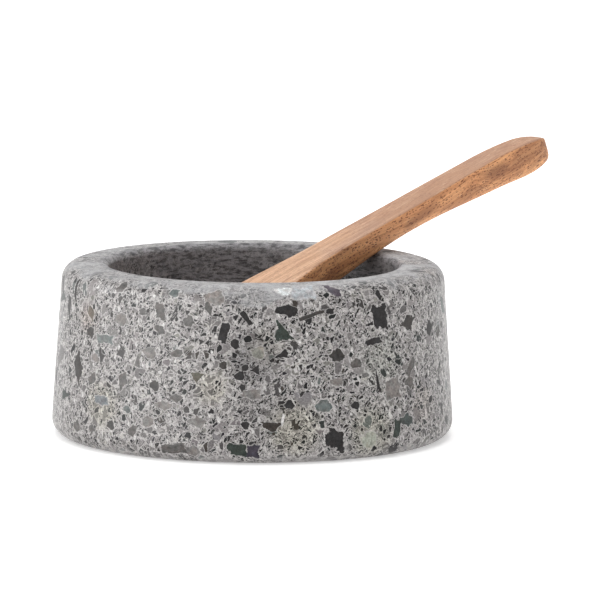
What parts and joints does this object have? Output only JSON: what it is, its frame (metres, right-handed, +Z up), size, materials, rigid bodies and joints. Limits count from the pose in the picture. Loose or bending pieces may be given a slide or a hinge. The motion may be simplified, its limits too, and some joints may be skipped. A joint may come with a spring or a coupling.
{
  "type": "salt cellar",
  "caption": "Low round stone salt cellar with thick leaning walls and a flat rim, and a small carved wooden spoon that leans on its lip and lifts out.",
  "frame": {"origin": "on the table, under the middle of the bowl, at the centre of its flat foot", "axes": "+Z up, along the bowl's axis; the pictured side of the bowl faces -Y, and the spoon's handle points to +X and +Y, 37.5 degrees from +X"},
  "size_m": [0.1277, 0.1103, 0.0696],
  "materials": {
    "stone": "satin",
    "wood": "matte"
  },
  "bodies": {
    "bowl": {"bowl": "stone"},
    "spoon": {"spoon": "wood"}
  },
  "joints": [
    {"name": "spoon_lift", "type": "slide", "parent": "bowl", "child": "spoon", "axis": [0, 0, 1], "range_m": [0, 0.06]}
  ]
}
